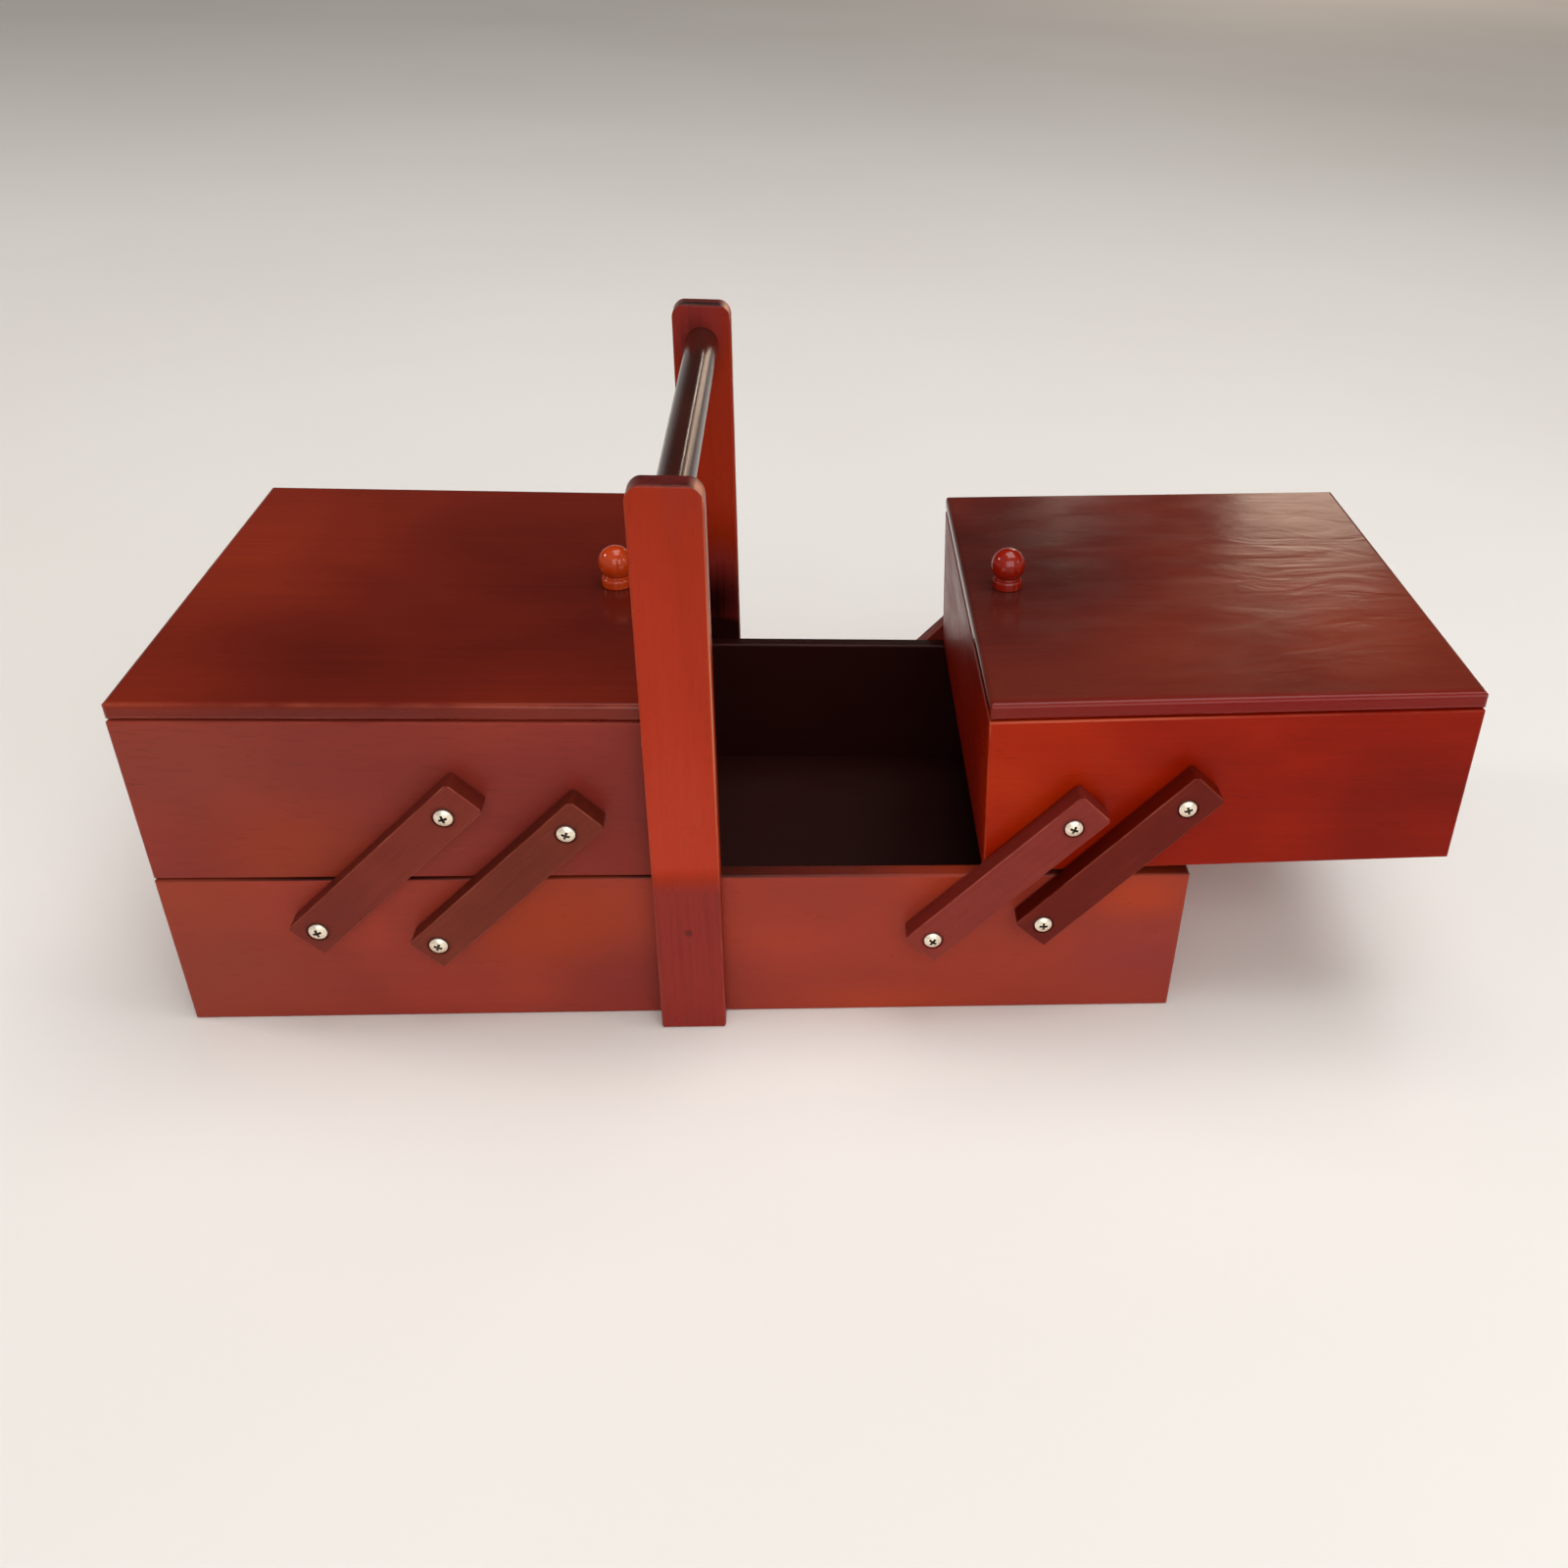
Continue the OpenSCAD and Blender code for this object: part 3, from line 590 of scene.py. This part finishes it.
for side, traySet, lidSet in (("left", leftTraySet, leftLidSet), ("right", rightTraySet, rightLidSet)):
    finish(stainedWood(side + "TrayWood", traySet), side + "_tray_front_board", side + "_tray_rear_board",
           side + "_tray_bottom_panel")
    finish(stainedWood(side + "TrayEndWood", {**traySet, "turn": alongY}), side + "_tray_inner_end",
           side + "_tray_outer_end")
    finish(stainedWood(side + "LidWood", lidSet), side + "_lid")
finish(stainedWood("postWood", postSet), "front_post", "rear_post")
finish(stainedWood("barWood", barSet), "handle_bar")
finish(stainedWood("fillerWood", {"tone": 0.0}), "brad_fillers")
print("cases, lids and handle finished")

# Screws, modelled with their cross recesses in place of the frame's plainer ones

screwSet = {
    "head": 0.0035,  # radius
    "height": 0.0023,
    "dome": 0.005,  # radius that the head is domed to
    "rim": 0.0004,  # rounding between the dome and the head's edge
    "shank": 0.002,
    "tip": 0.003,
    "slot": (0.0010, 0.0033, 0.0013),  # width, span and depth of the cross
    "taper": 0.5,
    "collar": 0.0023,  # radius of the plain dome round the cross
    "steps": 36,
    "domeSteps": 4,
    "ease": 0.3,  # how far in and down that rounding's middle point is, as a share of it
    "turns": (37, 20),  # degrees that the cross turns from screw to screw, and either way on the two faces
}

mergeLimit = 0.000001  # distance within which points become one
smoothLimit = 35  # degrees between faces that are still shaded as one


def arc(centre, radius, start, end, count):  # points on a circle from one angle to another, in degrees
    turns = (math.radians(start + (end - start) * i / count) for i in range(count + 1))
    return [(centre[0] + radius * math.cos(a), centre[1] + radius * math.sin(a)) for a in turns]


def spun(outline, steps):  # turns an outline of radius and height about the upright axis
    bm = bmesh.new()
    points = [bm.verts.new((radius, 0, height)) for radius, height in outline]
    edges = [bm.edges.new(pair) for pair in zip(points, points[1:])]
    bmesh.ops.spin(bm, geom=points + edges, cent=(0, 0, 0), axis=(0, 0, 1), angle=math.tau, steps=steps,
                   use_merge=True)
    bmesh.ops.remove_doubles(bm, verts=bm.verts, dist=mergeLimit)
    return bm


def newPiece(name, mesh, body, slot, materials, *replaced):
    mesh.shade_smooth()
    mesh.set_sharp_from_angle(angle=math.radians(smoothLimit))
    for material in materials:
        mesh.materials.append(material)
    piece = bpy.data.objects.new(name, mesh)
    scene.collection.objects.link(piece)
    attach(piece, body)
    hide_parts(*replaced)


def screwMesh(length, s):  # upright, with the top of its head at the origin
    def onDome(radius):
        return math.sqrt(s["dome"] ** 2 - radius ** 2) - s["dome"]

    flat = s["head"] - s["rim"]
    start, end = (math.degrees(math.acos(r / s["dome"])) for r in (s["collar"], flat))
    dome = arc((0, -s["dome"]), s["dome"], start, end, s["domeSteps"])
    ease = s["rim"] * s["ease"]
    edge = [(s["head"] - ease, onDome(flat) - ease), (s["head"], onDome(flat) - s["rim"])]
    body = [(s["head"], -s["height"]), (s["shank"], -s["height"]), (s["shank"], s["tip"] - length),
            (0, -length)]
    bm = spun(dome + edge + body, s["steps"])

    width, span, depth = s["slot"]
    corners = [(span / 2, width / 2), (width / 2, width / 2), (width / 2, span / 2)]
    quarters = [Matrix.Rotation(math.pi / 2 * i, 3, "Z") for i in range(4)]
    cross = [bm.verts.new(quarter @ Vector((x, y, 0))) for quarter in quarters for x, y in corners]
    outline = [bm.edges.new(pair) for pair in zip(cross, cross[1:] + cross[:1])]
    bmesh.ops.subdivide_edges(bm, edges=outline, cuts=s["steps"] // len(outline) - 1)
    outline = [edge for edge in bm.edges if edge.is_wire]
    for vert in {vert for edge in outline for vert in edge.verts}:
        vert.co.z = onDome(vert.co.xy.length)
    rim = [edge for edge in bm.edges if edge.is_boundary]
    bmesh.ops.bridge_loops(bm, edges=rim + outline)
    walls = bmesh.ops.extrude_edge_only(bm, edges=outline)["geom"]
    foot = [item for item in walls if isinstance(item, bmesh.types.BMVert)]
    for vert in foot:
        vert.co = (vert.co.x * s["taper"], vert.co.y * s["taper"], -depth)
    floor = [edge for edge in bm.edges if edge.is_boundary]
    bottom = bmesh.ops.contextual_create(bm, geom=floor)["faces"]
    for face in bottom + [item for item in walls if isinstance(item, bmesh.types.BMFace)]:
        face.material_index = 1
    bmesh.ops.recalc_face_normals(bm, faces=bm.faces)
    return meshOf(bm, "screw")


metalSet = {
    "cloud": 900.0,
    "dirtSpan": (0.35, 0.7),
    "dirtShade": "8C8576",
    "dirt": 0.35,  # how much of that shade the clouds take
    "unevenness": 0.15,  # of the roughness
}


def metal(name, code, roughness, **changes):
    s = {**metalSet, **changes}
    material, tree, shader = newMaterial(name)
    where = addNode(tree, "TexCoord").outputs["Object"]
    cloud = addNode(tree, "TexNoise", {"Vector": where, "Scale": s["cloud"], "Detail": 4.0}).outputs["Fac"]
    dull = spread(tree, cloud, *s["dirtSpan"], 0.0, s["dirt"])
    gloss = spread(tree, cloud, *noiseSpan, roughness, roughness + s["unevenness"])
    tone = blendColours(tree, dull, colour(code), colour(s["dirtShade"]))
    tree.links.new(tone, shader.inputs["Base Color"])
    tree.links.new(gloss, shader.inputs["Roughness"])
    shader.inputs["Metallic"].default_value = 1.0
    return material


def pivotPlaces(side):  # lower and upper screw of each arm
    low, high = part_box(side + "_tray_screws")
    outer = high.x - screwSet["head"] if side == "right" else low.x + screwSet["head"]
    upper = Vector((outer, 0, high.z - screwSet["head"]))
    return {"inner": (joints[side + "_fold"], joints[side + "_tray_turn"]),
            "outer": (joints[side + "_front_outer_turn"], upper)}


nickel = metal("nickelPlate", "FFF2DE", 0.36, dirt=0.2)
nickelRecess = metal("nickelRecess", "5E5446", 0.5)
zinc = metal("zincPlate", "C9C8C4", 0.35)
brass = metal("brassPlate", "C9A45C", 0.3)
places = {side: pivotPlaces(side) for side in ("left", "right")}
faces = {"front": -1, "rear": 1}


def makeScrews(name, node, body, spots):
    low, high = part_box(node)
    reach = high.y
    rear = min(vert.co.y for vert in cad[node].data.vertices if vert.co.y > 0)
    template = screwMesh(reach - rear, screwSet)
    fromScrew, fromFace = screwSet["turns"]
    bm = bmesh.new()
    for count, spot in enumerate(spots):
        for face, way in faces.items():
            turn = Matrix.Rotation(math.radians(fromScrew * count + fromFace * way), 4, "Z")
            upright = Matrix.Rotation(math.pi / 2 * -way, 4, "X")
            copy = template.copy()
            copy.transform(Matrix.Translation((spot.x, way * reach, spot.z)) @ upright @ turn)
            bm.from_mesh(copy)
            bpy.data.meshes.remove(copy)
    newPiece(name, meshOf(bm, name), body, "nickel", (nickel, nickelRecess), node)


lowerSpots = [pair[0] for group in places.values() for pair in group.values()]
makeScrews("basePivotScrews", "base_pivot_screws", "base", lowerSpots)
for side in places:
    upperSpots = [pair[1] for pair in places[side].values()]
    makeScrews(side + "TrayScrews", side + "_tray_screws", side + "_tray", upperSpots)
finish(zinc, "base_pivot_washers", "left_tray_washers", "right_tray_washers", "post_brads",
       "left_knob_screw", "right_knob_screw")
finish(brass, *[name for name in cad if "_hinge_" in name])
print("screws and hinges finished")

# Arms, with painted shade round each screw head

armSet = {
    "tone": 0.5,
    "cloud": (20.0, 0.18),
    # light front edges: rubbed stain with a painted highlight
    "edge": ("B4604C", 0.65),
    "corners": False,
    # the narrow sides darker: darker stain there, with painted shade
    "flanks": -0.22,
    "shadeRing": (0.0062, -0.55),  # reach and amount of the painted shade round each screw head
    "shadeRingDepth": 0.1098,  # how far its centre is from the middle of the box
}
armStain = {  # darkest and middle stain of each side's arms
    "left": {"inner": ("360906", "6D2819"), "outer": ("360906", "75291D")},
    "right": {"inner": ("4A0A06", "7F2A22"), "outer": ("4A0803", "641305")},
}

for side in places:
    for count, face in enumerate(faces):
        for which, screws in places[side].items():
            dark, middle = armStain[side][which]
            reach, amount = armSet["shadeRing"]
            way = screws[1] - screws[0]
            lean = math.degrees(math.atan2(way.z, way.x))
            depth = faces[face] * armSet["shadeRingDepth"]
            # painted shade round each screw head
            shadeRings = [((spot.x, depth, spot.z), (reach, reach, reach), amount) for spot in screws]
            changes = {"turn": (0, lean, 0), "seed": (count, len(which) + len(side), 0), "spots": shadeRings,
                       "stain": [(0.0, dark), (0.5, middle), (1.0, "9A4432")]}
            wood = stainedWood(side + face.title() + which.title() + "ArmWood", {**armSet, **changes})
            finish(wood, f"{side}_{face}_{which}_arm")
print("arms finished")

# Turned knobs, bored from below for their screws

knobSet = {
    "ball": 0.0072,  # radius
    "height": 0.017,
    "foot": 0.0063,  # radius
    "footHeight": 0.0042,
    "rounding": 0.0015,  # of the foot's upper edge
    "easing": 0.0003,  # of its lower edge
    "neck": 0.0053,  # radius
    "cove": 0.0006,  # between the foot and the neck
    "bore": (0.00175, 0.010),  # radius and depth
    "sweep": 80,  # degrees that the foot's upper edge and the cove turn through
    "steps": 48,
    "arcSteps": (6, 4, 22),  # of the foot's upper edge, the cove and the ball
    "wood": {
        "turn": (0, 90, 0),
        "stain": [(0.0, "5A0A04"), (0.5, "A01C04"), (1.0, "D04810")],
        "cloud": (60.0, 0.20),
        "specular": 0.45,
        "roughness": (0.08, 0.14),
        "relief": 0.00001,
        "peel": (260.0, 0.000008),
        "edge": ("C8603A", 0.0),
    },
}
knobTones = {"left": 0.84, "right": 0.34}


def knobOutline(s):  # from the bored foot up over the neck to the top of the ball
    foot, top, rounding, cove = s["foot"], s["footHeight"], s["rounding"], s["cove"]
    boreRadius, boreDepth = s["bore"]
    edgeSteps, coveSteps, ballSteps = s["arcSteps"]
    bore = [(0, boreDepth), (boreRadius, boreDepth), (boreRadius, 0)]
    base = [(foot - s["easing"], 0), (foot, s["easing"])]
    shoulder = arc((foot - rounding, top - rounding), rounding, 0, s["sweep"], edgeSteps)
    hollow = arc((s["neck"] + cove, top + cove), cove, 180 + s["sweep"], 180, coveSteps)
    meets = -math.degrees(math.acos(s["neck"] / s["ball"]))
    ball = arc((0, s["height"] - s["ball"]), s["ball"], meets, 90, ballSteps)
    return bore + base + shoulder + hollow + ball


def makeKnob(side, lean, s):
    low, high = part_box(side + "_knob")
    middle = (low + high) / 2
    centre = Matrix.Translation((middle.x, middle.y, high.z - s["ball"]))
    bm = spun(knobOutline(s), s["steps"])
    down = Matrix.Translation((0, 0, s["ball"] - s["height"]))
    bmesh.ops.transform(bm, matrix=centre @ Matrix.Rotation(-lean, 4, "Y") @ down, verts=bm.verts)
    bmesh.ops.recalc_face_normals(bm, faces=bm.faces)
    name = side + "TurnedKnob"
    wood = stainedWood(side + "KnobWood", {**s["wood"], "tone": knobTones[side]})
    newPiece(name, meshOf(bm, name), side + "_lid", "knob_wood", (wood,), side + "_knob")


makeKnob("left", 0, knobSet)
makeKnob("right", tilt, knobSet)
print("knobs finished, tilt of the open tray", round(math.degrees(tilt), 3))
